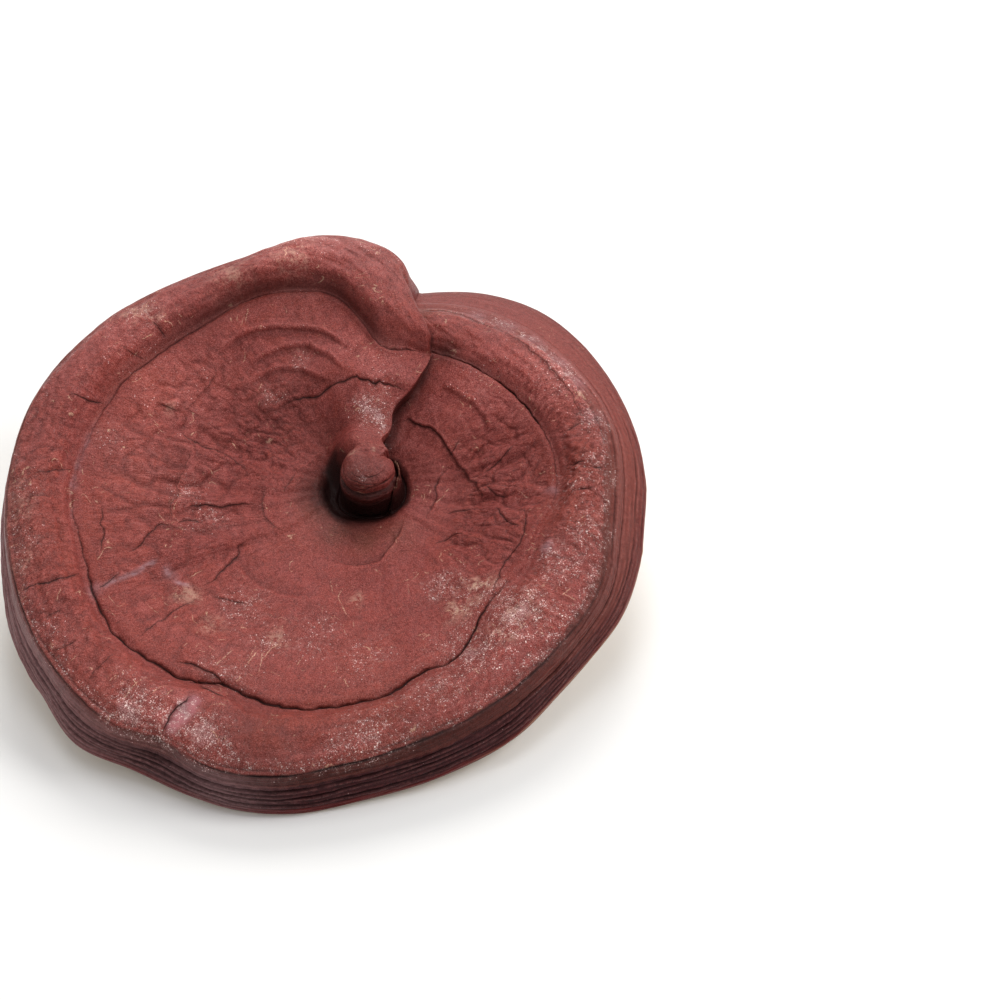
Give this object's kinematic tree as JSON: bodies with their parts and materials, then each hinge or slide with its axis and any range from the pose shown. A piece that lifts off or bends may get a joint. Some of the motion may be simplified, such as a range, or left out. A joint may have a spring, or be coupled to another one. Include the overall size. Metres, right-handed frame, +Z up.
{
  "type": "dried reishi mushroom",
  "caption": "Dried reishi mushroom: a lobed bracket cap with a central knob, a seam, a rolled margin and a layered rim, on a cut stem stub.",
  "frame": {"origin": "centre of the stem's flat cut face, on the surface that the mushroom stands on", "axes": "+Z up from that surface, +Y to the back, where the two lobes part, and +X to the right seen from the front"},
  "size_m": [0.1619, 0.1531, 0.0612],
  "materials": {
    "mushroom_flesh": "dry varnished skin, satin, with a matt pale pore side"
  },
  "bodies": {
    "root": {"reishi_mushroom": "mushroom_flesh"}
  },
  "joints": []
}
